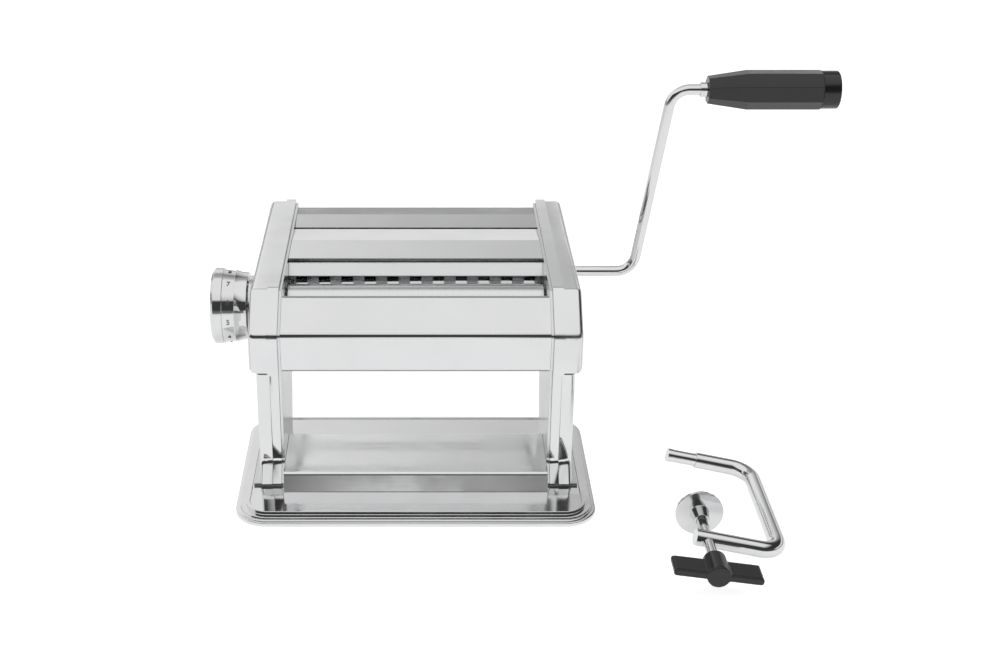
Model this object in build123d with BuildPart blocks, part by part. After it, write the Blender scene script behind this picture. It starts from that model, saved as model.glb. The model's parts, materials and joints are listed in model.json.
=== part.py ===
from build123d import *
from math import asin, cos, radians, sin, tan
import os

os.makedirs("parts", exist_ok=True)

# Hand cranked pasta roller: a pressed steel machine on a flat base, with a pair of smooth rollers,
# a pair of noodle cutters behind them, a thickness knob, a pull-out crank and a loose table clamp.
# X runs to the crank's side, Y to the back, Z up. The origin is the middle of the base, on the table.

# ---------------------------------------------------------------- driving dimensions, millimetres
# base
base_width = 206.0
base_depth = 126.0
base_corner = 19.0
base_sheet = 1.2
base_top = 5.8
rim_height = 2.6
ledge_height = 4.4
rim_ledge = 3.0
ledge_width = 3.2
bead_width = 2.0
bead_height = 0.6
sole_gap = 1.0

# bridge between the feet
bridge_front = -30.7
bridge_back = 17.9
bridge_height = 11.0
bridge_sheet = 1.2
bridge_lean = 3.6
bridge_corner = 2.5

# side plates and the feet under them
plate_gap = 152.8
plate_thick = 1.6
leg_width = 13.0
leg_band = 5.2
leg_band_step = 0.5
leg_sheet = 1.2
foot_front = -28.4
foot_back = 42.0
shin_front = -19.5
shin_height = 17.5
shin_round = 6.0
waist_back = 60.0
waist_drop = 13.3
neck_back = 66.0
foot_flange = 1.6
foot_flare = 3.0

# body outline, seen from the side; heights are counted from the rollers' axes
body_drop = 17.7
body_front = -20.5
ridge_rise = 5.5
ridge_round = 5.5
facet_back = 2.0
facet_round = 2.5
top_rise = 24.8
body_back = 149.0
cover_width = 16.8
cover_sheet = 1.0
band_width = 6.2
band_proud = 1.2
cover_round = 3.6

# rollers, cutters and their gears
roller_d = 26.4
roller_end_gap = 1.0
roller_journal = 10.0
roll_open = 2.4
roll_closed = 0.2
roller_height = 93.0
front_roller_y = 33.5
cutter_disc_d = 21.4
cutter_core_d = 14.0
cutter_shaft_d = 8.0
noodle_width = 6.5
disc_side_gap = 0.25
gear_module = 1.9
roller_teeth = 14
idler_teeth = 8
cutter_teeth = 10
gear_addendum = 1.9
gear_dedendum = 2.35
tooth_tip = 1.1
tooth_root = 3.0
gear_width = 7.0
idler_pin_d = 5.0
gear_off_plate = 2.0
train_fall = -7.6
run_gap = 0.05
bush_wall = 2.0
bush_flange = 1.2
bush_gap = 0.4
carrier_thick = 3.0

# top sheets
sheet = 0.8
sheet_rise = 22.6
cover_lip_y = 53.9
top_fold_y = 83.3
slot_width = 3.0
slot_dip = 2.2
rear_fold_y = 128.5
guide_top_y = 56.6
guide_toe_y = 49.5
guide_toe_rise = 13.0
tooth_tip_y = 50.2
tooth_tip_rise = 7.8
guide_flange = 14.0
lip_fold = 3.0
front_return = 8.0
scraper_gap = 0.5
scraper_drop = 3.0
scraper_flange = 9.0
comb_lean = 4.0
comb_thick = 1.2
comb_gap = 0.4
comb_rail = 4.0
notch_pitch = 13.7
notch_width = 6.9
notch_count = 11
front_lip_y = -1.1
front_cover_drop = 16.3
rear_drop = 2.4
front_cover_inset = 1.0

# knob and its dial
knob_d = 45.0
knob_neck_d = 40.0
knob_length = 21.0
knob_gap = 0.8
knob_wall = 2.4
dial_d = 36.0
dial_thick = 3.2
track_d = 26.0
track_width = 3.4
track_depth = 1.4
detent_depth = 0.8
detents = 9
dial_sweep = 288.0
pin_d = 2.6
pin_reach = 1.0
regulator_d = 10.0
cam_d = 20.0
cam_thick = 3.0
spring_d = 14.0
spring_wire = 1.2
spring_coils = 4
ring_from = 7.2
ring_to = 14.3
ring_sink = 0.7
rim_round = 1.6
cap_dome = 1.5
cap_seat = 2.0
knob_mouth = 6.0
head_thick = 2.0

# crank
crank_d = 6.6
crank_square = 4.4
square_gap = 0.15
crank_bush_od = 12.0
crank_bush_flange_d = 17.0
crank_bush_flange = 1.4
crank_seat = 11.0
crank_bend_x = 137.2
crank_top_x = 154.8
crank_rise = 118.2
crank_bend_r = 12.0
grip_start_x = 175.5
grip_length = 78.5
grip_neck_d = 16.8
grip_d = 24.0
grip_taper = 23.5
grip_end_d = 22.8
grip_end_length = 10.6
grip_bore_gap = 0.08
collar_d = 9.0
collar_length = 4.0

# table clamp, lying beside the machine
clamp_rod_d = 9.4
clamp_x = 198.0
clamp_tip_x = 148.5
clamp_back_y = -7.5
clamp_front_y = -96.5
clamp_bend_r = 12.0
clamp_lean = 12.2
clamp_tip_d = 7.6
clamp_tip_length = 17.0
clamp_flange_d = 8.0
clamp_flange_length = 3.0
screw_x = 157.5
screw_d = 6.0
screw_back_y = -71.5
screw_front_y = -130.5
clamp_arm_over = 7.0
pad_d = 26.7
pad_thick = 2.0
pad_cup_d = 10.6
pad_cup_length = 8.0
pad_cup_floor = 1.0
wing_span = 48.0
wing_depth = 14.0
wing_thick = 4.0
wing_hub_d = 12.6
wing_turn = -8.0
wing_hub_over = 3.0
socket_gap = 0.2
socket_wall = 2.0
socket_length = 26.0
socket_x = 0.0

# fasteners
screw_head_d = 6.0
screw_head_h = 2.0
foot_screw_inset = 12.0
cover_screw_inset = 6.0
tie_rod_d = 6.0
tie_nut_d = 10.0
tie_nut_h = 4.0
tie_inset = 9.0

# ------------------------------------------------------------------------------ derived places
plate_in = plate_gap / 2
plate_out = plate_in + plate_thick
cover_out = plate_out + cover_width
pan_under = base_top - base_sheet
nip_open = roller_d + roll_open
roller_travel = roll_open - roll_closed
back_roller_y = front_roller_y + nip_open
roller_r = roller_d / 2
knob_y = front_roller_y + roller_travel / 2
roller_length = plate_gap - 2 * roller_end_gap
idler_reach = gear_module * (roller_teeth + idler_teeth) / 2
cutter_reach = idler_reach + gear_module * (idler_teeth + cutter_teeth) / 2
idler_y = back_roller_y + idler_reach * cos(radians(train_fall))
idler_z = roller_height + idler_reach * sin(radians(train_fall))
cutter_y = back_roller_y + cutter_reach * cos(radians(train_fall))
cutter_z = roller_height + cutter_reach * sin(radians(train_fall))
cutter_pair = gear_module * cutter_teeth
rear_cutter_y = cutter_y + cutter_pair
slot_y = cutter_y + cutter_pair / 2
gear_in = plate_out + gear_off_plate
gear_out = gear_in + gear_width
grip_z = cutter_z + crank_rise
body_bottom = roller_height - body_drop
body_top = roller_height + top_rise
ridge_height = roller_height + ridge_rise
sheet_top = roller_height + sheet_rise
guide_toe_z = roller_height + guide_toe_rise
tooth_tip_z = roller_height + tooth_tip_rise
front_cover_bottom = roller_height - front_cover_drop
waist_height = body_bottom - waist_drop
leg_top = body_bottom - band_proud


def save(block, name):
    """Label a finished piece and write it as one STEP file."""
    block.part.label = name
    export_step(block.part, f"parts/{name}.step")


def side_plane(x, side=1):
    """A plane facing out to one side, whose own x runs to the back and y runs up."""
    return Plane.YZ.offset(x) if side > 0 else Plane.YZ.offset(-x)


def mesh_phase(phase, teeth, direction, mate_teeth):
    """Angle of one tooth of a mate, so that it meshes with a gear whose tooth stands at phase."""
    gap = direction + 180 - (phase - direction) * teeth / mate_teeth
    return gap + 180 / mate_teeth


roller_phase = 0.0
front_phase = mesh_phase(roller_phase, roller_teeth, 180, roller_teeth)
idler_phase = mesh_phase(roller_phase, roller_teeth, train_fall, idler_teeth)
cutter_phase = mesh_phase(idler_phase, idler_teeth, train_fall, cutter_teeth)
rear_cutter_phase = mesh_phase(cutter_phase, cutter_teeth, 0, cutter_teeth)


def gear_blank(x, width, y, z, teeth, phase, bore):
    """Add a spur gear with straight-sided teeth to the part in hand."""
    pitch_r = gear_module * teeth / 2
    tip_r = pitch_r + gear_addendum
    root_r = pitch_r - gear_dedendum
    with BuildSketch(side_plane(x)) as face:
        with Locations((y, z)):
            Circle(root_r)
            with PolarLocations(0, teeth, start_angle=phase):
                Polygon(
                    (root_r - 1, -tooth_root / 2),
                    (root_r, -tooth_root / 2),
                    (tip_r, -tooth_tip / 2),
                    (tip_r, tooth_tip / 2),
                    (root_r, tooth_root / 2),
                    (root_r - 1, tooth_root / 2),
                    align=None,
                )
            Circle(bore / 2, mode=Mode.SUBTRACT)
    extrude(face.sketch, amount=width)


def tube_ring(x, length, y, z, outer, inner, side=1):
    """Add a ring about an axis along X, starting at x and running outwards."""
    with BuildSketch(side_plane(x, side)) as face:
        with Locations((y, z)):
            Circle(outer / 2)
            Circle(inner / 2, mode=Mode.SUBTRACT)
    extrude(face.sketch, amount=side * length)


def rod(x, length, y, z, diameter, mode=Mode.ADD, side=1):
    """Add or cut a round bar about an axis along X, starting at x and running outwards."""
    with BuildSketch(side_plane(x, side)) as face:
        with Locations((y, z)):
            Circle(diameter / 2)
    extrude(face.sketch, amount=side * length, mode=mode)


def body_outline(grow):
    """Side outline of a body cover, grown or shrunk all round."""
    with BuildSketch() as face:
        with BuildLine():
            Polyline(
                (body_front - grow, body_bottom - grow),
                (body_front - grow, ridge_height + grow * 0.4),
                (facet_back - grow * 0.4, body_top + grow),
                (body_back + grow, body_top + grow),
                (body_back + grow, body_bottom - grow),
                close=True,
            )
        make_face()
        corners = face.vertices().sort_by(Axis.Y)
        fillet(corners[2:3], ridge_round + grow)
        fillet(face.vertices().sort_by(Axis.Y)[-2:], facet_round + grow)
    return face.sketch


def leg_outline(grow, top):
    """Side outline of a foot: flared at the base, straight in front and leaning back behind."""
    bottom = base_top + foot_flange
    with BuildSketch() as face:
        with BuildLine():
            Polyline(
                (neck_back + grow, top),
                (shin_front - grow, top),
                (shin_front - grow, shin_height),
                (foot_front - grow, bottom),
                (foot_back + grow, bottom),
            )
            Spline(
                (foot_back + grow, bottom),
                (waist_back + grow, waist_height),
                (neck_back + grow, top),
            )
        make_face()
        shin = face.vertices().sort_by_distance((shin_front - grow, shin_height))[0]
        fillet(shin, shin_round)
    return face.sketch


# ------------------------------------------------------------------------------ base and bridge
with BuildPart() as base_plate:
    inset = 2 * rim_ledge
    inner = inset + 2 * ledge_width
    for width, low, high in (
        (0.0, 0.0, rim_height),
        (inset, rim_height, ledge_height),
        (inner, ledge_height, base_top),
    ):
        with BuildSketch(Plane.XY.offset(low)):
            RectangleRounded(base_width - width, base_depth - width, base_corner - width / 2)
        extrude(amount=high - low)
    with BuildSketch(Plane.XY.offset(base_top)):
        RectangleRounded(base_width - inner, base_depth - inner, base_corner - inner / 2)
        RectangleRounded(
            base_width - inner - 2 * bead_width,
            base_depth - inner - 2 * bead_width,
            base_corner - inner / 2 - bead_width,
            mode=Mode.SUBTRACT,
        )
    extrude(amount=bead_height)
    hollow = 2 * base_sheet
    for width, low, high in (
        (hollow, 0.0, rim_height - base_sheet),
        (inset + hollow, 0.0, ledge_height - base_sheet),
        (inner + hollow, 0.0, pan_under),
    ):
        with BuildSketch(Plane.XY.offset(low)):
            RectangleRounded(base_width - width, base_depth - width, base_corner - width / 2)
        extrude(amount=high - low, mode=Mode.SUBTRACT)
    outer_edges = base_plate.edges().filter_by_position(Axis.Z, rim_height - 0.01, rim_height + 0.01)
    fillet(outer_edges.sort_by(SortBy.LENGTH)[-8:], 0.8)
save(base_plate, "base_plate")

with BuildPart() as base_sole:
    sole_inset = inner + hollow + 2 * sole_gap
    with BuildSketch():
        RectangleRounded(
            base_width - sole_inset, base_depth - sole_inset, base_corner - sole_inset / 2
        )
    extrude(amount=pan_under)
save(base_sole, "base_sole")

bridge_mid = (bridge_front + bridge_back) / 2
bridge_deep = bridge_back - bridge_front
socket_bore = clamp_flange_d + 2 * socket_gap
socket_high = bridge_height - bridge_sheet
socket_z = base_top + socket_high / 2
with BuildPart() as bridge:
    with BuildSketch(Plane.YZ.offset(-plate_in)):
        with BuildLine():
            Polyline(
                (bridge_front - bridge_lean, base_top),
                (bridge_front, base_top + bridge_height),
                (bridge_back, base_top + bridge_height),
                (bridge_back, base_top),
                close=True,
            )
        make_face()
    extrude(amount=plate_gap)
    along_x = bridge.edges().filter_by(Axis.X).group_by(Axis.Z)[-1]
    fillet(along_x, bridge_corner)
    with BuildSketch(Plane.XY.offset(base_top)):
        with Locations((0, bridge_mid)):
            Rectangle(plate_gap - 2 * bridge_sheet, bridge_deep - 2 * bridge_sheet)
    extrude(amount=socket_high, mode=Mode.SUBTRACT)
    with BuildSketch(Plane.XZ.offset(-bridge_back)):
        with Locations((socket_x, socket_z)):
            Circle(socket_bore / 2)
    extrude(amount=bridge_sheet, mode=Mode.SUBTRACT)
save(bridge, "bridge")

with BuildPart() as clamp_socket:
    with BuildSketch(Plane.XZ.offset(-bridge_back + bridge_sheet)):
        with Locations((socket_x, socket_z)):
            Rectangle(socket_bore + 2 * socket_wall, socket_high)
            Circle(socket_bore / 2, mode=Mode.SUBTRACT)
    extrude(amount=socket_length)
save(clamp_socket, "clamp_socket")

# ---------------------------------------------------------------- side plates, feet and covers
tie_places = (
    (body_front + tie_inset, body_bottom + tie_inset),
    (body_back - tie_inset, body_bottom + tie_inset),
    (body_back - tie_inset, body_top - tie_inset),
)
bush_od = roller_journal + 2 * bush_wall
cutter_bush_od = cutter_shaft_d + 2 * bush_wall
carrier_h = bush_od + 1.0
carrier_w = bush_od + 2.0
flange_wide = leg_width + foot_flare

for side, hand in ((-1, "left"), (1, "right")):
    with BuildPart() as side_plate:
        with BuildSketch(side_plane(plate_in, side)) as face:
            add(body_outline(-cover_sheet - 0.2))
            add(leg_outline(-leg_sheet, body_bottom + 8))
            with Locations(((foot_front + foot_back) / 2, base_top + foot_flange / 2)):
                Rectangle(foot_back - foot_front - 2 * leg_sheet, foot_flange)
        extrude(face.sketch, amount=side * plate_thick)
        with BuildSketch(side_plane(plate_in, side)) as holes:
            with Locations((front_roller_y + roller_travel / 2, roller_height)):
                Rectangle(carrier_w + roller_travel + 2 * run_gap, carrier_h + 2 * run_gap)
            with Locations((back_roller_y, roller_height)):
                Circle(bush_od / 2)
            with Locations((cutter_y, cutter_z), (rear_cutter_y, cutter_z)):
                Circle(cutter_bush_od / 2)
            with Locations(*tie_places):
                Circle(tie_rod_d / 2)
            if side > 0:
                with Locations((idler_y, idler_z)):
                    Circle(idler_pin_d / 2)
        extrude(holes.sketch, amount=side * plate_thick, mode=Mode.SUBTRACT)
        with BuildSketch(Plane.XY.offset(base_top)) as flange:
            with Locations((side * (plate_out + flange_wide / 2), (foot_front + foot_back) / 2)):
                Rectangle(flange_wide, foot_back - foot_front - 2 * leg_sheet)
        extrude(flange.sketch, amount=foot_flange)
    save(side_plate, f"{hand}_side_plate")

    with BuildPart() as leg:
        with BuildSketch(side_plane(plate_out, side)) as band:
            add(leg_outline(-leg_band_step, leg_top))
        extrude(band.sketch, amount=side * leg_band)
        with BuildSketch(side_plane(plate_out + leg_band, side)) as face:
            add(leg_outline(0, leg_top))
        extrude(face.sketch, amount=side * (leg_width - leg_band))
        outer_face = leg.faces().sort_by(Axis.X)[-1 if side > 0 else 0]
        tall = outer_face.edges().filter_by(Axis.Y, reverse=True)
        fillet(tall, 2.6)
        with BuildSketch(side_plane(plate_out, side)) as hollow_face:
            add(leg_outline(-leg_sheet, leg_top))
        extrude(hollow_face.sketch, amount=side * (leg_width - leg_sheet), mode=Mode.SUBTRACT)
    save(leg, f"{hand}_leg")

    with BuildPart() as side_cover:
        with BuildSketch(side_plane(plate_out, side)) as face:
            add(body_outline(0))
        extrude(face.sketch, amount=side * cover_width)
        outer_face = side_cover.faces().sort_by(Axis.X)[-1 if side > 0 else 0]
        fillet(outer_face.edges(), cover_round)
        with BuildSketch(side_plane(plate_out, side)) as band:
            add(body_outline(band_proud))
        extrude(band.sketch, amount=side * band_width)
        with BuildSketch(side_plane(plate_out, side)) as hollow_face:
            add(body_outline(-cover_sheet))
        extrude(hollow_face.sketch, amount=side * (cover_width - cover_sheet), mode=Mode.SUBTRACT)
        if side > 0:
            rod(plate_out, cover_width + 2, cutter_y, cutter_z, crank_bush_od, Mode.SUBTRACT)
        else:
            rod(
                plate_out, cover_width + 2, knob_y, roller_height,
                regulator_d + 2, Mode.SUBTRACT, side,
            )
    save(side_cover, f"{hand}_side_cover")

# ---------------------------------------------------------------- sheet covers between the plates
front_y = body_front + front_cover_inset
facet_run = (facet_back - body_front) / (body_top - ridge_height)
lip_z = ridge_height + (front_lip_y - front_y) / facet_run
slot_front = slot_y - slot_width / 2
slot_back = slot_y + slot_width / 2
slot_z = sheet_top - slot_dip
rear_y = body_back - cover_sheet - 0.2


def bent_sheet(points, side):
    """Add a folded sheet right across the machine: its outer line is points, seen from the side."""
    with BuildSketch(Plane.YZ.offset(-plate_in)) as face:
        with BuildLine():
            Polyline(*points)
            offset(amount=sheet, side=side, kind=Kind.INTERSECTION)
        make_face()
    extrude(face.sketch, amount=plate_gap)


with BuildPart() as front_cover:
    bent_sheet(
        (
            (front_lip_y + 1.0, lip_z - lip_fold),
            (front_lip_y, lip_z),
            (front_y, ridge_height),
            (front_y, front_cover_bottom),
            (front_y + front_return, front_cover_bottom),
        ),
        Side.LEFT,
    )
    ridge = front_cover.edges().filter_by(Axis.X).sort_by_distance((0, front_y, ridge_height))
    fillet(ridge[0], ridge_round)
    inner_ridge = front_cover.edges().filter_by(Axis.X).sort_by_distance(
        (0, front_y + sheet, ridge_height - sheet / 2)
    )
    fillet(inner_ridge[0], ridge_round - sheet)
save(front_cover, "front_cover")

with BuildPart() as top_cover:
    bent_sheet(
        (
            (cover_lip_y, sheet_top - 2 * sheet),
            (cover_lip_y, sheet_top),
            (top_fold_y, sheet_top),
            (slot_front, slot_z),
            (slot_front, slot_z - lip_fold),
        ),
        Side.RIGHT,
    )
save(top_cover, "top_cover")

guide_flange_z = sheet_top - 2 * sheet
with BuildPart() as feed_guide:
    bent_sheet(
        (
            (guide_top_y + guide_flange, guide_flange_z),
            (guide_top_y, guide_flange_z),
            (guide_toe_y, guide_toe_z),
            (tooth_tip_y, tooth_tip_z),
        ),
        Side.LEFT,
    )
    notch_high = guide_toe_z - tooth_tip_z + sheet
    with BuildSketch(Plane.XY.offset(guide_toe_z - sheet / 2 - notch_high)) as notches:
        with Locations((0, tooth_tip_y)):
            with GridLocations(notch_pitch, 1, notch_count, 1):
                Rectangle(notch_width, 12.0)
    extrude(notches.sketch, amount=notch_high, mode=Mode.SUBTRACT)
save(feed_guide, "feed_guide")

with BuildPart() as rear_cover:
    bent_sheet(
        (
            (slot_back, slot_z - lip_fold),
            (slot_back, slot_z),
            (rear_fold_y, sheet_top),
            (rear_y, sheet_top - rear_drop),
            (rear_y, body_bottom + cover_sheet),
            (rear_y - front_return, body_bottom + cover_sheet),
        ),
        Side.RIGHT,
    )
save(rear_cover, "rear_cover")

scraper_tip = roller_height - roller_r - scraper_gap
scraper_foot = body_bottom - scraper_drop
for name, y in (("front_scraper", front_roller_y + roller_travel / 2), ("back_scraper", back_roller_y)):
    with BuildPart() as scraper:
        bent_sheet(
            ((y, scraper_tip), (y, scraper_foot), (y - scraper_flange, scraper_foot)),
            Side.RIGHT,
        )
    save(scraper, name)

with BuildPart() as tie_rods:
    tie_end = plate_out + tie_nut_h + 1.0
    for y, z in tie_places:
        rod(-tie_end, 2 * tie_end, y, z, tie_rod_d)
save(tie_rods, "tie_rods")

with BuildPart() as tie_nuts:
    for side in (-1, 1):
        for y, z in tie_places:
            with BuildSketch(side_plane(plate_out, side)) as nut:
                with Locations((y, z)):
                    RegularPolygon(tie_nut_d / 2, 6)
                    Circle(tie_rod_d / 2, mode=Mode.SUBTRACT)
            extrude(nut.sketch, amount=side * tie_nut_h)
save(tie_nuts, "tie_nuts")

# ---------------------------------------------------------------- smooth rollers
journal_end = plate_out + 2.0
for name, y in (("back_roller", back_roller_y), ("front_roller", front_roller_y)):
    with BuildPart() as roller:
        rod(-roller_length / 2, roller_length, y, roller_height, roller_d)
        fillet(roller.edges().filter_by(GeomType.CIRCLE), 0.4)
        rod(-journal_end, journal_end + gear_out, y, roller_height, roller_journal)
    save(roller, name)

with BuildPart() as back_roller_bushes:
    bore = roller_journal + 2 * run_gap
    for side in (-1, 1):
        tube_ring(plate_in, plate_thick, back_roller_y, roller_height, bush_od, bore, side)
        tube_ring(plate_out, bush_flange, back_roller_y, roller_height, bush_od + 4, bore, side)
save(back_roller_bushes, "back_roller_bushes")

with BuildPart() as roller_carriers:
    for side in (-1, 1):
        with BuildSketch(side_plane(plate_in, side)) as block:
            with Locations((front_roller_y, roller_height)):
                Rectangle(carrier_w, carrier_h)
                Circle(roller_journal / 2 + run_gap, mode=Mode.SUBTRACT)
        extrude(block.sketch, amount=side * carrier_thick)
save(roller_carriers, "roller_carriers")

gears = (
    ("back_roller_gear", back_roller_y, roller_height, roller_teeth, roller_phase, roller_journal),
    ("front_roller_gear", front_roller_y, roller_height, roller_teeth, front_phase, roller_journal),
    ("idler_gear", idler_y, idler_z, idler_teeth, idler_phase, idler_pin_d + 2 * run_gap),
    ("front_cutter_gear", cutter_y, cutter_z, cutter_teeth, cutter_phase, cutter_shaft_d),
    ("rear_cutter_gear", rear_cutter_y, cutter_z, cutter_teeth, rear_cutter_phase, cutter_shaft_d),
)
for name, y, z, teeth, phase, bore in gears:
    with BuildPart() as gear:
        gear_blank(gear_in, gear_width, y, z, teeth, phase, bore)
    save(gear, name)

with BuildPart() as idler_pin:
    pin_end = gear_out + bush_gap
    rod(plate_in, pin_end - plate_in, idler_y, idler_z, idler_pin_d)
    rod(pin_end, bush_flange, idler_y, idler_z, idler_pin_d + 3)
save(idler_pin, "idler_pin")

# ---------------------------------------------------------------- noodle cutters behind the rollers
disc_pitch = 2 * noodle_width
disc_width = noodle_width - disc_side_gap
disc_count = int(roller_length / disc_pitch)
crank_mouth = cover_out + crank_bush_flange


def cutter_body(y, shift):
    """Add one cutter roller: a core with square-edged discs along it."""
    rod(-roller_length / 2, roller_length, y, cutter_z, cutter_core_d)
    first = shift - disc_pitch * (disc_count - 1) / 2 - disc_width / 2
    for index in range(disc_count):
        rod(first + index * disc_pitch, disc_width, y, cutter_z, cutter_disc_d)


with BuildPart() as front_cutter:
    cutter_body(cutter_y, -noodle_width / 2)
    rod(-journal_end, journal_end, cutter_y, cutter_z, cutter_shaft_d)
    rod(roller_length / 2, crank_mouth - roller_length / 2, cutter_y, cutter_z, cutter_shaft_d)
    with BuildSketch(side_plane(crank_mouth)) as seat:
        with Locations((cutter_y, cutter_z)):
            Rectangle(crank_square + 2 * square_gap, crank_square + 2 * square_gap)
    extrude(seat.sketch, amount=-crank_seat - 1.0, mode=Mode.SUBTRACT)
save(front_cutter, "front_cutter")

with BuildPart() as rear_cutter:
    cutter_body(rear_cutter_y, noodle_width / 2)
    rod(-journal_end, journal_end + gear_out, rear_cutter_y, cutter_z, cutter_shaft_d)
save(rear_cutter, "rear_cutter")

with BuildPart() as cutter_bushes:
    bore = cutter_shaft_d + 2 * run_gap
    for side in (-1, 1):
        for y in (cutter_y, rear_cutter_y):
            tube_ring(plate_in, plate_thick, y, cutter_z, cutter_bush_od, bore, side)
            tube_ring(plate_out, bush_flange, y, cutter_z, cutter_bush_od + 3, bore, side)
save(cutter_bushes, "cutter_bushes")

with BuildPart() as crank_bush:
    bore = cutter_shaft_d + 2 * run_gap
    tube_ring(cover_out - cover_sheet, cover_sheet, cutter_y, cutter_z, crank_bush_od, bore)
    tube_ring(cover_out, crank_bush_flange, cutter_y, cutter_z, crank_bush_flange_d, bore)
save(crank_bush, "crank_bush")

comb_top = cutter_z - (cutter_core_d**2 / 4 - comb_lean**2) ** 0.5 - comb_gap
comb_low = body_bottom - scraper_drop
for name, y, lean, shift in (
    ("front_comb", cutter_y, comb_lean, -noodle_width / 2),
    ("rear_comb", rear_cutter_y, -comb_lean, noodle_width / 2),
):
    with BuildPart() as comb:
        with BuildSketch(Plane.XY.offset(comb_low)):
            with Locations((0, y + lean)):
                Rectangle(plate_gap, comb_thick)
        extrude(amount=comb_rail)
        with BuildSketch(Plane.XY.offset(comb_low)) as fingers:
            with Locations((shift, y + lean)):
                with GridLocations(disc_pitch, 1, disc_count - 1, 1):
                    Rectangle(noodle_width - 2 * disc_side_gap, comb_thick)
        extrude(fingers.sketch, amount=comb_top - comb_low)
    save(comb, name)

# ---------------------------------------------------------------- thickness knob
dial_face = cover_out + dial_thick
knob_back = dial_face + knob_gap
knob_front = knob_back + knob_length
head_x = knob_front - knob_mouth
cam_x = journal_end + 1.0
knob_bore_r = regulator_d / 2 + run_gap
knob_r = knob_d / 2
neck_r = knob_neck_d / 2
cap_r = knob_r - rim_round - knob_wall
knob_plane = Plane(origin=(0, knob_y, roller_height), x_dir=(-1, 0, 0), z_dir=(0, 1, 0))
knob_axis = Axis((0, knob_y, roller_height), (-1, 0, 0))

with BuildPart() as dial_plate:
    tube_ring(cover_out, dial_thick, knob_y, roller_height, dial_d, 2 * knob_bore_r, -1)
    with BuildSketch(side_plane(dial_face, -1)) as track:
        with Locations((knob_y, roller_height)):
            Circle(track_d / 2 + track_width / 2)
            Circle(track_d / 2 - track_width / 2, mode=Mode.SUBTRACT)
    extrude(track.sketch, amount=track_depth, mode=Mode.SUBTRACT)
    with BuildSketch(side_plane(dial_face - track_depth, -1)) as pockets:
        with Locations((knob_y, roller_height)):
            with PolarLocations(track_d / 2, detents, start_angle=90, angular_range=-dial_sweep,
                                endpoint=True):
                Circle(pin_d / 2 + 0.1)
    extrude(pockets.sketch, amount=detent_depth, mode=Mode.SUBTRACT)
save(dial_plate, "dial_plate")

with BuildPart() as regulator_shaft:
    rod(cam_x, cam_thick, knob_y, roller_height, cam_d, Mode.ADD, -1)
    rod(cam_x, head_x - cam_x, knob_y, roller_height, regulator_d, Mode.ADD, -1)
    rod(head_x, head_thick, knob_y, roller_height, spring_d + 2 * spring_wire, Mode.ADD, -1)
save(regulator_shaft, "regulator_shaft")

with BuildPart() as knob:
    with BuildSketch(knob_plane) as half:
        with BuildLine():
            Line((knob_back, knob_bore_r), (knob_back, neck_r))
            ThreePointArc(
                (knob_back, neck_r),
                (knob_back + ring_from / 2, neck_r + 0.4),
                (knob_back + ring_from, knob_r - 1.0),
            )
            Polyline(
                (knob_back + ring_from, knob_r - 1.0),
                (knob_back + ring_from, knob_r - 1.0 - ring_sink),
                (knob_back + ring_to, knob_r - ring_sink),
                (knob_back + ring_to, knob_r),
                (knob_front - rim_round, knob_r),
                (knob_front, knob_r - rim_round),
                (knob_front, cap_r),
                (knob_back + knob_wall, neck_r - knob_wall),
                (knob_back + knob_wall, knob_bore_r),
                (knob_back, knob_bore_r),
            )
        make_face()
    revolve(axis=knob_axis)
    rod(knob_back, knob_wall, knob_y, roller_height + track_d / 2, pin_d, Mode.SUBTRACT, -1)
save(knob, "knob")

dome_r = ((cap_r - 0.05) ** 2 + cap_dome**2) / (2 * cap_dome)
dome_mid = asin((cap_r - 0.05) / dome_r) / 2
with BuildPart() as knob_cap:
    with BuildSketch(knob_plane) as half:
        with BuildLine():
            Polyline(
                (knob_front + cap_dome, 0),
                (knob_front - cap_seat, 0),
                (knob_front - cap_seat, cap_r - 0.6),
                (knob_front, cap_r - 0.05),
            )
            ThreePointArc(
                (knob_front, cap_r - 0.05),
                (knob_front + cap_dome - dome_r + dome_r * cos(dome_mid), dome_r * sin(dome_mid)),
                (knob_front + cap_dome, 0),
            )
        make_face()
    revolve(axis=knob_axis)
save(knob_cap, "knob_cap")

with BuildPart() as detent_pin:
    pin_from = dial_face - pin_reach
    pin_length = knob_back + knob_wall - pin_from
    rod(pin_from, pin_length, knob_y, roller_height + track_d / 2, pin_d, Mode.ADD, -1)
save(detent_pin, "detent_pin")

spring_from = knob_back + knob_wall + spring_wire / 2
spring_height = head_x - spring_from - spring_wire / 2
with BuildPart() as knob_spring:
    with BuildLine() as coil:
        Helix(
            pitch=spring_height / spring_coils,
            height=spring_height,
            radius=spring_d / 2,
            center=(-spring_from, knob_y, roller_height),
            direction=(-1, 0, 0),
        )
    with BuildSketch(Plane(origin=coil.line @ 0, z_dir=coil.line % 0)):
        Circle(spring_wire / 2)
    sweep(is_frenet=True)
save(knob_spring, "knob_spring")

# ---------------------------------------------------------------- crank and its handle
crank_plane = Plane(origin=(0, cutter_y, 0), x_dir=(1, 0, 0), z_dir=(0, -1, 0))
square_end = crank_mouth - crank_seat
rod_end = grip_start_x + grip_length - grip_end_length - 2.0
with BuildPart() as crank_rod:
    with BuildLine(crank_plane) as path:
        FilletPolyline(
            (crank_mouth + 0.5, cutter_z),
            (crank_bend_x, cutter_z),
            (crank_top_x, grip_z),
            (rod_end, grip_z),
            radius=crank_bend_r,
        )
    with BuildSketch(side_plane(crank_mouth + 0.5)):
        with Locations((cutter_y, cutter_z)):
            Circle(crank_d / 2)
    sweep(path=path.line)
    with BuildSketch(side_plane(square_end)) as square:
        with Locations((cutter_y, cutter_z)):
            Rectangle(crank_square, crank_square)
    extrude(square.sketch, amount=crank_mouth + 0.5 - square_end)
save(crank_rod, "crank_rod")

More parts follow.
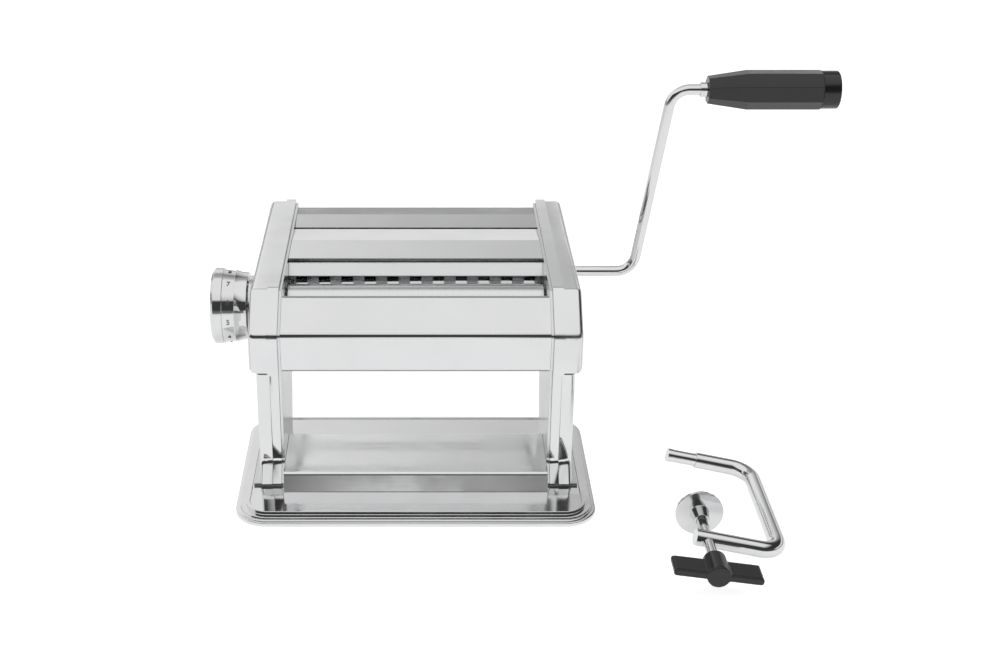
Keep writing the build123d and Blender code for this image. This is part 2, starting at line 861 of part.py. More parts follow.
with BuildPart() as crank_collar:
    collar_x = grip_start_x - collar_length - 0.4
    tube_ring(collar_x, collar_length, cutter_y, grip_z, collar_d, crank_d)
save(crank_collar, "crank_collar")

grip_bore = crank_d + 2 * grip_bore_gap
taper_x = grip_start_x + grip_taper
straight_x = grip_start_x + grip_length - grip_end_length
with BuildPart() as handle_grip:
    for x, across in ((grip_start_x, grip_neck_d), (taper_x, grip_d)):
        with BuildSketch(side_plane(x)):
            with Locations((cutter_y, grip_z)):
                RegularPolygon(across / 2, 8, rotation=22.5)
    loft()
    with BuildSketch(side_plane(taper_x)) as straight:
        with Locations((cutter_y, grip_z)):
            RegularPolygon(grip_d / 2, 8, rotation=22.5)
    extrude(straight.sketch, amount=straight_x - taper_x)
    rod(grip_start_x, straight_x - grip_start_x, cutter_y, grip_z, grip_bore, Mode.SUBTRACT)
save(handle_grip, "handle_grip")

with BuildPart() as grip_end_cap:
    rod(straight_x, grip_end_length, cutter_y, grip_z, grip_end_d)
    fillet(grip_end_cap.faces().sort_by(Axis.X)[-1].edges(), 1.2)
    rod(straight_x, grip_end_length - 4.0, cutter_y, grip_z, crank_d + 6.0, Mode.SUBTRACT)
save(grip_end_cap, "grip_end_cap")

with BuildPart() as grip_retainer:
    rod(straight_x + 0.4, 2.0, cutter_y, grip_z, crank_d + 5.0)
    rod(rod_end, straight_x + 0.6 - rod_end, cutter_y, grip_z, crank_d)
save(grip_retainer, "grip_retainer")

# ---------------------------------------------------------------- table clamp beside the machine
lean = radians(clamp_lean)
rod_r = clamp_rod_d / 2
clamp_plane = Plane(
    origin=(clamp_x, 0, rod_r), x_dir=(-cos(lean), 0, sin(lean)), z_dir=(-sin(lean), 0, -cos(lean))
)
tip_reach = (clamp_x - clamp_tip_x) / cos(lean)
tube_reach = tip_reach - clamp_tip_length
screw_reach = (clamp_x - screw_x) / cos(lean)
screw_z = rod_r + (clamp_x - screw_x) * tan(lean)


def cross_rod(x, y, length, z, diameter, mode=Mode.ADD):
    """Add or cut a round bar along Y, from y towards the back."""
    with BuildSketch(Plane.XZ.offset(-y)) as face:
        with Locations((x, z)):
            Circle(diameter / 2)
    extrude(face.sketch, amount=-length, mode=mode)


with BuildPart() as clamp_frame:
    with BuildLine(clamp_plane) as path:
        FilletPolyline(
            (tube_reach, clamp_back_y),
            (0, clamp_back_y),
            (0, clamp_front_y),
            (screw_reach + clamp_arm_over, clamp_front_y),
            radius=clamp_bend_r,
        )
    with BuildSketch(Plane(origin=path.line @ 0, z_dir=path.line % 0)):
        Circle(rod_r)
    sweep(path=path.line)
    tip_plane = Plane(origin=path.line @ 0, z_dir=(path.line % 0) * -1)
    with BuildSketch(tip_plane) as tip:
        Circle(clamp_tip_d / 2)
    extrude(tip.sketch, amount=clamp_tip_length)
    with BuildSketch(tip_plane.offset(clamp_tip_length - clamp_flange_length)) as flange:
        Circle(clamp_flange_d / 2)
    extrude(flange.sketch, amount=clamp_flange_length)
    cross_rod(
        screw_x, clamp_front_y - clamp_rod_d, 2 * clamp_rod_d, screw_z,
        screw_d + 2 * run_gap, Mode.SUBTRACT,
    )
save(clamp_frame, "clamp_frame")

with BuildPart() as clamp_screw:
    cross_rod(screw_x, screw_front_y, screw_back_y - screw_front_y, screw_z, screw_d)
save(clamp_screw, "clamp_screw")

pad_from = screw_back_y + pad_cup_floor
with BuildPart() as clamp_pad:
    with BuildSketch(Plane.XZ.offset(-pad_from)) as disc:
        with Locations((screw_x, screw_z)):
            Circle(pad_d / 2)
    extrude(disc.sketch, amount=-pad_thick)
    with BuildSketch(Plane.XZ.offset(-pad_from)) as cone:
        with Locations((screw_x, screw_z)):
            Circle(pad_cup_d / 2)
    extrude(cone.sketch, amount=pad_cup_length, taper=8)
    cup_open = pad_cup_length - pad_cup_floor
    cross_rod(
        screw_x, screw_back_y - cup_open, cup_open + 0.1, screw_z, screw_d + 2 * run_gap, Mode.SUBTRACT
    )
save(clamp_pad, "clamp_pad")

with BuildPart() as clamp_wing:
    cross_rod(screw_x, screw_front_y - wing_hub_over, wing_depth + wing_hub_over, screw_z, wing_hub_d)
    wing_plane = Plane(
        origin=(screw_x, screw_front_y - wing_hub_over, screw_z),
        x_dir=(cos(radians(wing_turn)), 0, sin(radians(wing_turn))),
        z_dir=(0, -1, 0),
    )
    with BuildSketch(wing_plane) as wing:
        RectangleRounded(wing_span, wing_thick, wing_thick * 0.4)
    extrude(wing.sketch, amount=-wing_depth)
    cross_rod(screw_x, screw_front_y, wing_depth + 1, screw_z, screw_d, Mode.SUBTRACT)
save(clamp_wing, "clamp_wing")

# ---------------------------------------------------------------- screws
flange_top = base_top + foot_flange
with BuildPart() as base_screws:
    for side in (-1, 1):
        for y in (foot_front + foot_screw_inset, foot_back - foot_screw_inset):
            with BuildSketch(Plane.XY.offset(flange_top)):
                with Locations((side * (plate_out + leg_width / 2), y)):
                    Circle(screw_head_d / 2)
            extrude(amount=screw_head_h)
save(base_screws, "base_screws")

with BuildPart() as cover_screws:
    for side in (-1, 1):
        for z in (body_bottom + cover_screw_inset, ridge_height - cover_screw_inset):
            with BuildSketch(Plane.XZ.offset(-body_back)):
                with Locations((side * (plate_out + band_width + 5.0), z)):
                    Circle(screw_head_d / 2)
            extrude(amount=-screw_head_h * 0.8)
save(cover_screws, "cover_screws")
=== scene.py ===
# %% [markdown]
# # A hand cranked pasta roller
# This lesson dresses a pasta roller that was already built in a CAD program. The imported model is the
# frame: it gives the place of every part, in metres, with X to the crank's side, Y to the back and Z up.
# Here each part gets its finish, its soft edges and the small detail that polished metal shows.

# %% Load the frame
import json
import math

import bmesh
import bpy
from mathutils import Matrix, Vector

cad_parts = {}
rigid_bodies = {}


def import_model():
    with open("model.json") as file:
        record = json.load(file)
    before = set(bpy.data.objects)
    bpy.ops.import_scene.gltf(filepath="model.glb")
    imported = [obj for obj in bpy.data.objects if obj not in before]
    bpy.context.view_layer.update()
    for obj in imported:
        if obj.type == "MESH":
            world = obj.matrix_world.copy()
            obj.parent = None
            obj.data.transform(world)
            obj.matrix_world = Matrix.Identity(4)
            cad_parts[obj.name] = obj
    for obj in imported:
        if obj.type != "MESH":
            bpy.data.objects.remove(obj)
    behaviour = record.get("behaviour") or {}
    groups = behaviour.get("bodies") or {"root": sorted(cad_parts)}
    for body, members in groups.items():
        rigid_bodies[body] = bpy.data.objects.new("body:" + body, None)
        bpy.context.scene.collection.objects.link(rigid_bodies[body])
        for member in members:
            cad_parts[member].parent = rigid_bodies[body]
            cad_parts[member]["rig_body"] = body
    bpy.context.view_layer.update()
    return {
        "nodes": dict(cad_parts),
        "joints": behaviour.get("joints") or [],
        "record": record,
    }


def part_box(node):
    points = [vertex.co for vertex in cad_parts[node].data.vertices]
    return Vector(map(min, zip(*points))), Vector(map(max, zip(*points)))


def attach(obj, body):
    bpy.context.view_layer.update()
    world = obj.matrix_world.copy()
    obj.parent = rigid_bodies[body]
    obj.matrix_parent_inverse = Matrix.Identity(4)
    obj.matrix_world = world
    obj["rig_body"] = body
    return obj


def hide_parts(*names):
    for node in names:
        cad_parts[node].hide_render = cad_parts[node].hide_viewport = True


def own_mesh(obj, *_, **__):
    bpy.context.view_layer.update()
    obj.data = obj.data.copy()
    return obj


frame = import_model()
mm = 0.001


def linked(name, data):
    """A new object in the scene."""
    thing = bpy.data.objects.new(name, data)
    bpy.context.scene.collection.objects.link(thing)
    return thing


# %% [markdown]
# ## Shader sums
# A finish is easier to read as sums than as a drawing of nodes. `Signal` wraps one output socket, and
# its operators add Math nodes. `Finish` holds one material, and its `add` makes any other node.

# %% Signals and finishes
class Signal:
    """An output socket that can be added, subtracted and multiplied like a number."""

    def __init__(self, finish, socket):
        self.finish, self.socket = finish, socket

    def _sum(self, operation, first, second):
        return self.finish.add("ShaderNodeMath", {"operation": operation}, {0: first, 1: second})

    def __add__(self, other): return self._sum("ADD", self, other)
    def __sub__(self, other): return self._sum("SUBTRACT", self, other)
    def __rsub__(self, other): return self._sum("SUBTRACT", other, self)
    def __mul__(self, other): return self._sum("MULTIPLY", self, other)


class Finish:
    """One material in the making."""

    def __init__(self, name, **constants):
        self.material = bpy.data.materials.new(name)
        self.material.use_nodes = True
        self.tree = self.material.node_tree
        self.shader = self.tree.nodes["Principled BSDF"]
        for socket, value in constants.items():
            self.shader.inputs[socket.replace("_", " ").title()].default_value = value

    def plug(self, socket, value):
        if isinstance(value, Signal):
            self.tree.links.new(value.socket, socket)
        else:
            socket.default_value = value

    def add(self, kind, settings=None, sockets=None, output=0):
        """Add a node: its settings first, then the values or links of its sockets."""
        node = self.tree.nodes.new(kind)
        for key, value in (settings or {}).items():
            setattr(node, key, value)
        for key, value in (sockets or {}).items():
            self.plug(node.inputs[key], value)
        return Signal(self, node.outputs[output])

    def set(self, socket, value):
        self.plug(self.shader.inputs[socket], value)

    def place(self, stretch=(1, 1, 1)):
        """The point on the piece, in metres, with the pattern pulled out along an axis."""
        point = self.add("ShaderNodeTexCoord", output="Object")
        return self.add("ShaderNodeMapping", None, {"Vector": point, "Scale": stretch})

    def noise(self, scale, detail, stretch=(1, 1, 1)):
        sockets = {"Vector": self.place(stretch), "Scale": scale, "Detail": detail}
        return self.add("ShaderNodeTexNoise", None, sockets)

    def span(self, value, low, high, start, end):
        """Map a value from start..end to low..high, and keep it there outside start..end."""
        sockets = {0: value, 1: start, 2: end, 3: low, 4: high}
        return self.add("ShaderNodeMapRange", None, sockets)

    def rise(self, value, start, end):
        return self.span(value, 0.0, 1.0, start, end)

    def fall(self, value, start, end):
        return self.span(value, 1.0, 0.0, start, end)

    def ramp(self, value, stops):
        """Grey tones along a value from 0 to 1, as (place, tone) in rising order."""
        signal = self.add("ShaderNodeValToRGB", None, {"Fac": value})
        elements = signal.socket.node.color_ramp.elements
        for place, _ in stops[1:-1]:
            elements.new(place)
        for element, (place, tone) in zip(elements, stops):
            element.position, element.color = place, (tone, tone, tone, 1)
        return signal

    def blend(self, amount, first, second):
        """Mix two colours."""
        sockets = {0: amount, 6: first, 7: second}
        return self.add("ShaderNodeMix", {"data_type": "RGBA"}, sockets, output=2)

    def bump(self, height, distance, strength=1.0, before=None):
        sockets = {"Height": height, "Distance": distance, "Strength": strength}
        if before:
            sockets["Normal"] = before
        return self.add("ShaderNodeBump", None, sockets)


# %% [markdown]
# ## Polished steel
# The trays, covers, knob, crank and clamp are polished and bright. A mirror in a studio shows only what
# stands round it, so the finish itself is quiet: a little haze where hands have wiped it, hair lines too
# fine to count, and the slow waves that a press leaves in thin sheet.

# %% Polished steel
SMUDGE_HAZE = 2.2  # times the clean steel's roughness
SMUDGE_TONE = 0.93  # times the clean steel's tone
HAIR_ROUGHNESS = 0.03


def polished_steel(name, tone, haze, wave, wave_size):
    steel = Finish(name, metallic=1.0)
    smudge = steel.noise(scale=38.0, detail=3.0)
    hairs = steel.noise(scale=900.0, detail=1.0, stretch=(0.06, 1, 1))
    wiped = steel.span(smudge, haze, haze * SMUDGE_HAZE, start=0.42, end=0.66)
    steel.set("Roughness", wiped + steel.span(hairs, 0.0, HAIR_ROUGHNESS, start=0.5, end=0.75))
    dull = tuple(channel * SMUDGE_TONE for channel in tone)
    steel.set("Base Color", steel.blend(smudge, (*tone, 1), (*dull, 1)))
    waves = steel.bump(steel.noise(wave_size, detail=0.0), distance=wave)
    steel.set("Normal", steel.bump(hairs, distance=0.004 * mm, strength=0.25, before=waves))
    return steel.material


TRAY_TONE = (0.78, 0.782, 0.785)
sheet_chrome = polished_steel("sheet_chrome", (0.75, 0.752, 0.755), haze=0.05, wave=0.6 * mm, wave_size=9.0)
tray_steel = polished_steel("tray_steel", TRAY_TONE, haze=0.07, wave=0.2 * mm, wave_size=9.0)
bridge_steel = polished_steel("bridge_steel", TRAY_TONE, haze=0.09, wave=0.15 * mm, wave_size=9.0)
cover_steel = polished_steel("cover_steel", (0.76, 0.762, 0.765), haze=0.12, wave=1.2 * mm, wave_size=16.0)
bar_chrome = polished_steel("bar_chrome", (0.74, 0.742, 0.745), haze=0.055, wave=0.1 * mm, wave_size=20.0)

# %% [markdown]
# ## Brushed and ground steel
# Inner plates and folded guides are bright rolled steel whose grain runs along the sheet. The rollers are
# ground round and round, so their fine lines run the other way, across X.

# %% Brushed and ground steel
GRAIN_ROUGHNESS = 0.14
CLOUD_ROUGHNESS = 0.05
GRAIN_TONE = 0.86  # times the tone between the grain lines


def grained_steel(name, tone, rough, stretch, depth):
    steel = Finish(name, metallic=1.0)
    grain = steel.noise(scale=1400.0, detail=2.0, stretch=stretch)
    cloud = steel.noise(scale=30.0, detail=2.0)
    grained = steel.span(grain, rough, rough + GRAIN_ROUGHNESS, start=0.3, end=0.7)
    steel.set("Roughness", grained + cloud * CLOUD_ROUGHNESS)
    dark = tuple(channel * GRAIN_TONE for channel in tone)
    steel.set("Base Color", steel.blend(grain, (*dark, 1), (*tone, 1)))
    steel.set("Normal", steel.bump(grain, depth, strength=0.5))
    return steel.material


SHEET_GRAIN, ROLLER_GRAIN, GEAR_GRAIN = (0.03, 1, 1), (1, 0.03, 0.03), (0.3, 1, 1)
bright_steel = grained_steel("bright_steel", (0.74, 0.745, 0.75), 0.12, SHEET_GRAIN, depth=0.006 * mm)
ground_steel = grained_steel("ground_steel", (0.78, 0.785, 0.79), 0.10, ROLLER_GRAIN, depth=0.004 * mm)
gear_steel = grained_steel("gear_steel", (0.46, 0.46, 0.47), 0.24, GEAR_GRAIN, depth=0.02 * mm)

# %% [markdown]
# ## Plastics and rubber
# The grip and the wing nut are glossy black mouldings with faint handling marks. The bushes are a plain
# off-white plastic, and the mat under the base is matt rubber with a fine grain.

# %% Plastics and rubber
def moulded(name, tone, rough, grain_size, grain_depth, mark):
    plastic = Finish(name, metallic=0.0)
    grain = plastic.noise(grain_size, detail=3.0)
    marks = plastic.noise(scale=60.0, detail=4.0)
    plastic.set("Roughness", plastic.span(marks, rough, rough + mark, start=0.45, end=0.7))
    light = tuple(channel * 1.25 + 0.004 for channel in tone)
    plastic.set("Base Color", plastic.blend(marks, (*tone, 1), (*light, 1)))
    plastic.set("Normal", plastic.bump(grain, grain_depth, strength=0.4))
    return plastic.material


black_plastic = moulded("black_plastic", (0.012, 0.012, 0.013), 0.16, 1800.0, 0.01 * mm, mark=0.12)
bush_plastic = moulded("bush_plastic", (0.78, 0.78, 0.74), 0.42, 1500.0, 0.02 * mm, mark=0.1)
sole_rubber = moulded("sole_rubber", (0.035, 0.035, 0.036), 0.72, 1200.0, 0.08 * mm, mark=0.1)

# %% [markdown]
# ## Soft edges
# No real edge is perfectly sharp, and on polished steel each one draws a thin bright line. A CAD node
# comes as loose flat triangles, so a copy is merged, its flat faces are joined, its edges get a narrow
# bevel, and its curves are shaded smooth. The copy stands for the node and moves with its body.

# %% Dress a node
SLOT_OF = {part["node"]: part["material_slot"] for part in frame["record"]["subparts"]}
SLOT_FINISH = {
    "polished_steel": sheet_chrome,
    "bright_steel": bright_steel,
    "ground_steel": ground_steel,
    "gear_steel": gear_steel,
    "bush_plastic": bush_plastic,
    "black_plastic": black_plastic,
    "rubber": sole_rubber,
}
SHARP_ANGLE = math.radians(30.0)
FLAT_ANGLE = math.radians(0.6)
SAME_POINT = 0.002 * mm


def show(shape, name, node, finish, edge=0.0, segments=2):
    """Turn a bmesh into a finished piece that rides on the node's body."""
    mesh = bpy.data.meshes.new(name)
    shape.to_mesh(mesh)
    shape.free()
    mesh.materials.append(finish)
    mesh.shade_smooth()
    mesh.set_sharp_from_angle(angle=SHARP_ANGLE)
    piece = linked(name, mesh)
    if edge:
        soft = piece.modifiers.new("soft_edges", "BEVEL")
        soft.width, soft.segments, soft.limit_method = edge, segments, "ANGLE"
        soft.angle_limit, soft.harden_normals = SHARP_ANGLE, True
        soft.use_clamp_overlap = True
    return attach(piece, frame["nodes"][node]["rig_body"])


def merged(node):
    """A copy of a CAD node with its triangles joined."""
    shape = bmesh.new()
    shape.from_mesh(frame["nodes"][node].data)
    bmesh.ops.remove_doubles(shape, verts=shape.verts, dist=SAME_POINT)
    bmesh.ops.dissolve_limit(shape, angle_limit=FLAT_ANGLE, verts=shape.verts, edges=shape.edges)
    return shape


def dress(node, finish, edge, segments):
    piece = show(merged(node), f"{node}_dressed", node, finish, edge, segments)
    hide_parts(node)


# %% [markdown]
# ## Dress every part
# Bars and round parts take the bar finish, whose waves are shallower and closer together. Most edges take
# a fifth of a millimetre. The pressed trays, the bridge and the side covers have rounder edges.

# %% Dress every part
BAR_PARTS = ("crank_rod", "crank_collar", "clamp_frame", "clamp_pad", "clamp_screw", "knob", "knob_cap")
SPECIAL_FINISH = {
    "bridge": bridge_steel,
    "base_plate": tray_steel,
    "left_side_cover": cover_steel,
    "right_side_cover": cover_steel,
    **{node: bar_chrome for node in BAR_PARTS},
}
PLAIN_EDGE = 0.2 * mm
ROUNDED = {
    "base_plate": 0.6 * mm,
    "left_side_cover": 1.8 * mm,
    "right_side_cover": 1.8 * mm,
    "bridge": 0.4 * mm,
}
for node in sorted(frame["nodes"]):
    finish = SPECIAL_FINISH.get(node, SLOT_FINISH[SLOT_OF[node]])
    dress(node, finish, ROUNDED.get(node, PLAIN_EDGE), segments=4 if node in ROUNDED else 2)
print("dressed", len(frame["nodes"]), "parts")

# %% [markdown]
# ## The knob's spring
# Pulling the knob off its detent presses the spring behind it, by the knob's travel. The spring's fixed end
# and the knob's travel are read here, but its dressed copy only gets a mesh of its own and does not
# shorten.

# %% The knob's spring
SPRING_FIXED_END = -113.8 * mm
spring_low, spring_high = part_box("knob_spring")
spring_length = spring_high[0] - spring_low[0]
pull = next(joint for joint in frame["joints"] if joint["name"] == "knob_pull")
knob_travel = pull["range_m"][1]
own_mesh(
    bpy.data.objects["knob_spring_dressed"], "knob_pull", axis=(1, 0, 0),
    anchor=(SPRING_FIXED_END, 0, 0), keep=(spring_length - knob_travel) / spring_length,
)
print("the spring is", round(spring_length, 4), "m long at rest")

# %% [markdown]
# ## The figures on the knob
# Nine plain figures stand round the groove of the knob, 32 degrees apart, with a dimple one step before
# the first. They lie on the slope of the groove and ride with the knob.

# %% The figures on the knob
KNOB_AXIS_PLACE = (34.6 * mm, 93.0 * mm)
GROOVE_MIDDLE = 10.6 * mm
GROOVE_RADIUS = 21.4 * mm
GROOVE_SLOPE = math.degrees(math.atan2(1.0, 7.1))
FIGURES = 9
FIGURE_STEP = 32.0
FIRST_FIGURE = -48.0
FIGURE_HEIGHT, FIGURE_THICK = 4.6 * mm, 0.08 * mm
DIMPLE_RADIUS, DIMPLE_FLATNESS = 1.1 * mm, 0.35
knob_inner_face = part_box("knob")[1][0]
ink = moulded("setting_ink", (0.10, 0.10, 0.105), 0.35, 900.0, 0.01 * mm, mark=0.1)


def round_knob(step):
    """The place of a figure on the groove: X along the axis, Y down the round, Z outwards."""
    turn = Matrix.Rotation(math.radians(FIRST_FIGURE - FIGURE_STEP * step - 90), 4, "X")
    out = Matrix.Translation((knob_inner_face - GROOVE_MIDDLE, 0, GROOVE_RADIUS))
    middle = Matrix.Translation((0, *KNOB_AXIS_PLACE))
    return middle @ turn @ out @ Matrix.Rotation(math.radians(GROOVE_SLOPE), 4, "Y")


for step in range(FIGURES):
    words = bpy.data.curves.new("figure", "FONT")
    words.body, words.size, words.extrude = str(step + 1), FIGURE_HEIGHT, FIGURE_THICK
    words.align_x, words.align_y = "CENTER", "CENTER"
    sample = bpy.data.objects.new("figure", words)
    figure = bmesh.new()
    figure.from_mesh(bpy.data.meshes.new_from_object(sample))
    bmesh.ops.transform(figure, matrix=round_knob(step), verts=figure.verts)
    bpy.data.objects.remove(sample)
    show(figure, f"knob_figure_{step + 1}", "knob", ink)
dimple = bmesh.new()
bmesh.ops.create_uvsphere(dimple, u_segments=20, v_segments=12, radius=DIMPLE_RADIUS)
flat = Matrix.Diagonal((1, 1, DIMPLE_FLATNESS, 1))
bmesh.ops.transform(dimple, matrix=round_knob(-1) @ flat, verts=dimple.verts)
show(dimple, "knob_dimple", "knob", ink)
print("the knob carries", FIGURES, "figures")

# %% [markdown]
# ## The moulded wing nut
# A moulded wing flows out of its hub. The CAD wing is a plain bar across a plain hub, so its copy is made
# of small voxels and relaxed, which rounds every edge and fills the roots.

# %% The moulded wing nut
WING_VOXEL = 0.3 * mm
wing = bpy.data.objects["clamp_wing_dressed"]
wing.modifiers.clear()
voxels = wing.modifiers.new("voxels", "REMESH")
voxels.mode, voxels.voxel_size, voxels.use_smooth_shade = "VOXEL", WING_VOXEL, True
relax = wing.modifiers.new("relax", "SMOOTH")
relax.factor, relax.iterations = 0.5, 30

# %% [markdown]
# ## The hem of the front cover, and its painted shadow lines
# The sheet's two long edges are turned back on themselves, and a thin rod of dark steel along each fold
# paints the thin shadow line of the gap there.

# %% The hem of the front cover, and its painted shadow lines
HEM_SHORTER = 1 * mm  # than the cover is wide
cover_low, cover_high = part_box("front_cover")
cover_points = [vertex.co for vertex in frame["nodes"]["front_cover"].data.vertices]
lip = max(cover_points, key=lambda point: point.z)
foot = min(cover_points, key=lambda point: (round(point.z, 4), point.y))


def hem_and_shadow_line(name, point, radius):
    """A thin rod of dark steel along X, at a folded sheet edge, that paints a thin shadow line."""
    rod = bmesh.new()
    turn = Matrix.Translation((0, point.y, point.z)) @ Matrix.Rotation(math.radians(90), 4, "Y")
    length = cover_high[0] - cover_low[0] - HEM_SHORTER
    bmesh.ops.create_cone(
        rod, cap_ends=True, segments=16, radius1=radius, radius2=radius, depth=length, matrix=turn
    )
    # The rod is dark gear steel rather than the cover's chrome, so it paints the thin shadow line of the
    # gap along the fold.
    show(rod, name, "front_cover", gear_steel)


# The lip's rod paints the shadow in the gap between the lip and the roller behind it; the foot's rod paints
# the shadow line along the cover's bottom edge.
hem_and_shadow_line("front_cover_hem_and_shadow_line", lip, radius=0.55 * mm)
hem_and_shadow_line("front_cover_foot_hem_and_shadow_line", foot, radius=0.35 * mm)
print("the front cover's lip and foot are at", [round(v, 4) for v in (*lip, *foot)])

# %% [markdown]
# ## Floor, light and camera
# The photograph stands in a white studio. The floor is white to the camera and grey to mirrors, and it
# keeps its shadow. A mirror needs something to show, so it sees a sky of light and dark parts in place of
# the lamps.

# %% Floor
FLOOR_TO_CAMERA, FLOOR_TO_MIRRORS = 0.76, 0.46


def studio_sheet(name, size, matrix=Matrix()):
    """A flat square sheet, from -size to size before the matrix."""
    shape = bmesh.new()
    bmesh.ops.create_grid(shape, x_segments=2, y_segments=2, size=size, matrix=matrix)
    mesh = bpy.data.meshes.new(name)
    shape.to_mesh(mesh)
    shape.free()
    return linked(name, mesh)


floor = studio_sheet("floor", size=6.0)
paper = Finish("studio_paper", roughness=0.9)
paper.set("Base Color", (0.82, 0.82, 0.82, 1))
rays = paper.tree.nodes.new("ShaderNodeLightPath").outputs
camera_sees, mirror_sees = (Signal(paper, rays[f"Is {kind} Ray"]) for kind in ("Camera", "Glossy"))
shine = camera_sees * FLOOR_TO_CAMERA + mirror_sees * FLOOR_TO_MIRRORS
glow = paper.add("ShaderNodeEmission", None, {"Color": (1, 1, 1, 1), "Strength": shine})
lit = Signal(paper, paper.shader.outputs[0])
both = paper.add("ShaderNodeAddShader", None, {0: lit, 1: glow})
paper.plug(paper.tree.nodes["Material Output"].inputs["Surface"], both)
floor.data.materials.append(paper.material)

# %% [markdown]
# A glowing card lies under the machine's body, where a product photographer would slip a white card in. It
# is no lamp,
# and only mirrors see it: its glow paints a reflection on the bridge and the tray, which then shine instead
# of showing the dark works above them.

# %% Glowing card under the body, for a painted reflection
CARD_BELOW, CARD_NARROWER = 1.5 * mm, 2 * mm  # narrower at each end
# Glow strengths at the card's two ends: a painted reflection, brighter at the left and dimmer at the right,
# as less light falls there.
CARD_LEFT_GLOW, CARD_RIGHT_GLOW, CARD_HALF_WIDTH = 0.86, 0.58, 0.085
rear_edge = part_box("rear_cover")[1][1]
card_place = Matrix.Translation((0, (cover_low[1] + rear_edge) / 2, cover_low[2] - CARD_BELOW))
card_scale = Matrix.Diagonal((cover_high[0] - CARD_NARROWER, (rear_edge - cover_low[1]) / 2, 1, 1))
card = studio_sheet("mirror_card", size=1.0, matrix=card_place @ card_scale)
# The card is black and glows, though it is no lamp. Its glow fades from left to right, a painted reflection
# of light falling off to the right.
white = Finish("mirror_card_glow")
side = white.add("ShaderNodeSeparateXYZ", None, {"Vector": white.place()})
glow_falloff = white.span(side, CARD_LEFT_GLOW, CARD_RIGHT_GLOW, -CARD_HALF_WIDTH, CARD_HALF_WIDTH)
white.set("Base Color", (0, 0, 0, 1))
white.set("Emission Color", white.blend(glow_falloff, (0, 0, 0, 1), (1, 1, 1, 1)))
white.set("Emission Strength", 1.0)
card.data.materials.append(white.material)
card.visible_camera = card.visible_diffuse = card.visible_shadow = False

# %% [markdown]
# The sky that mirrors see is built from the direction they look in. `height` is 0 at the horizon and 1
# straight up, `across` goes from -1 at the left to 1 at the right, and `deep` from -1 at the camera's
# side to 1 at the back. The backdrop is a row of bands by height. A slope makes its middle bands darker
# to the right and lighter to the left, a ceiling darkens the top at the back, and the room on the
# camera's side is dark but for one window near the horizon.

# %% World
BACKDROP_BANDS = [
    (0.0, 0.40), (0.135, 0.42), (0.165, 0.92), (0.26, 0.93),
    (0.33, 0.77), (0.62, 0.77), (0.85, 1.0), (1.0, 1.0),
]
SLOPE_DARKENING, CEILING_DARKENING = 1.25, 0.5
WINDOW_MIDDLE_TONE, WINDOW_SIDE_TONE, ROOM_TONE = 0.85, 0.14, 0.05
DARKEST, BRIGHTEST = 0.04, 1.0
SKY_LIGHT = (0.35, 0.355, 0.36, 1)
world = bpy.data.worlds.new("studio")
bpy.context.scene.world = world
world.use_nodes = True


class Sky(Finish):
    """The same node methods, on the world's tree."""

    def __init__(self, tree):
        self.tree = tree


sky = Sky(world.node_tree)
look = sky.add("ShaderNodeTexCoord", output="Generated")
apart = sky.add("ShaderNodeSeparateXYZ", None, {"Vector": look}).socket.node
across, deep, height = (Signal(sky, apart.outputs[axis]) for axis in "XYZ")
slope = sky.rise(height, 0.27, 0.34) * sky.fall(height, 0.60, 0.80)
ceiling = sky.span(deep, 0.0, CEILING_DARKENING, start=0.25, end=0.45)
ceiling = ceiling * sky.rise(height, 0.55, 0.66) * sky.fall(height, 0.84, 0.92)
backdrop = sky.ramp(height, BACKDROP_BANDS) - slope * across * SLOPE_DARKENING - ceiling
aside = sky.add("ShaderNodeMath", {"operation": "ABSOLUTE"}, {0: across})
window = sky.span(aside, WINDOW_MIDDLE_TONE, WINDOW_SIDE_TONE, start=0.03, end=0.09)
dim = sky.fall(height, 0.08, 0.16) * window + ROOM_TONE
room = sky.fall(deep, -0.34, -0.10) * sky.fall(height, 0.58, 0.66)
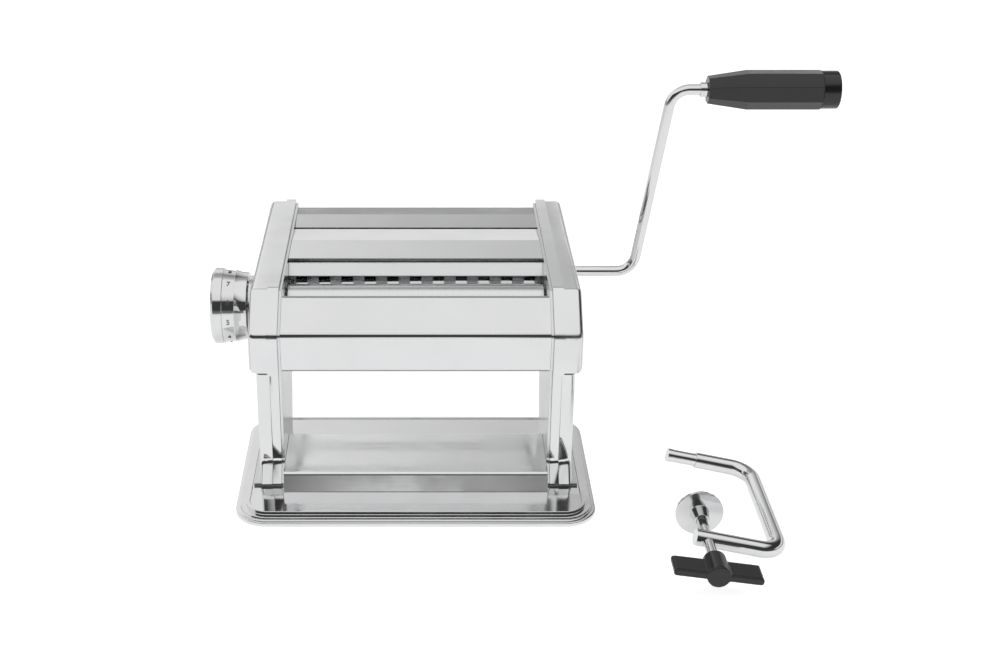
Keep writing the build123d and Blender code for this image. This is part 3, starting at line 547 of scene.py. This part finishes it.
tone = sky.span(backdrop * (1 - room) + room * dim, DARKEST, BRIGHTEST, DARKEST, BRIGHTEST)
rays = sky.tree.nodes.new("ShaderNodeLightPath").outputs
camera_ray, glossy_ray = (Signal(sky, rays[f"Is {kind} Ray"]) for kind in ("Camera", "Glossy"))
seen = sky.blend(camera_ray, sky.blend(glossy_ray, SKY_LIGHT, tone), (1, 1, 1, 1))
sky.plug(sky.tree.nodes["Background"].inputs["Color"], seen)

# %% [markdown]
# Three large soft lamps light the floor and the black plastic. Mirrors don't see them.

# %% Lamps
def lamp(name, place, aim, size, power):
    light = bpy.data.lights.new(name, "AREA")
    light.shape, light.size, light.size_y, light.energy = "RECTANGLE", *size, power
    thing = linked(name, light)
    thing.location = place
    thing.rotation_euler = (Vector(aim) - Vector(place)).to_track_quat("-Z", "Y").to_euler()
    thing.visible_glossy = False


lamp("top_softbox", (0.05, 0.15, 1.5), aim=(0.05, 0.05, 0.05), size=(1.3, 1.0), power=7.0)
lamp("front_left_softbox", (-1.0, -1.1, 0.9), aim=(0.0, 0.0, 0.1), size=(0.9, 0.9), power=3.5)
lamp("right_softbox", (1.3, -0.5, 0.8), aim=(0.05, 0.0, 0.1), size=(0.7, 0.9), power=2.5)

# %% [markdown]
# The camera stands where a perspective fit of the photograph puts it. The machine's middle lies left of
# the picture's middle, so the lens is shifted and not turned.

# %% Camera
CAMERA_PLACE = (0.0, -0.8088, 0.4677)
CAMERA_TILT = 25.0
FOCAL_PIXELS, PHOTO_WIDTH, SENSOR = 1552.0, 1000.0, 36.0
MIDDLE_COLUMN = 415.7
camera_data = bpy.data.cameras.new("camera")
camera_data.sensor_width = SENSOR
camera_data.lens = FOCAL_PIXELS * SENSOR / PHOTO_WIDTH
camera_data.shift_x = (PHOTO_WIDTH / 2 - MIDDLE_COLUMN) / PHOTO_WIDTH
camera = linked("camera", camera_data)
camera.location = CAMERA_PLACE
camera.rotation_euler = (math.radians(90 - CAMERA_TILT), 0, 0)
bpy.context.scene.camera = camera
bpy.context.scene.view_settings.view_transform = "Standard"
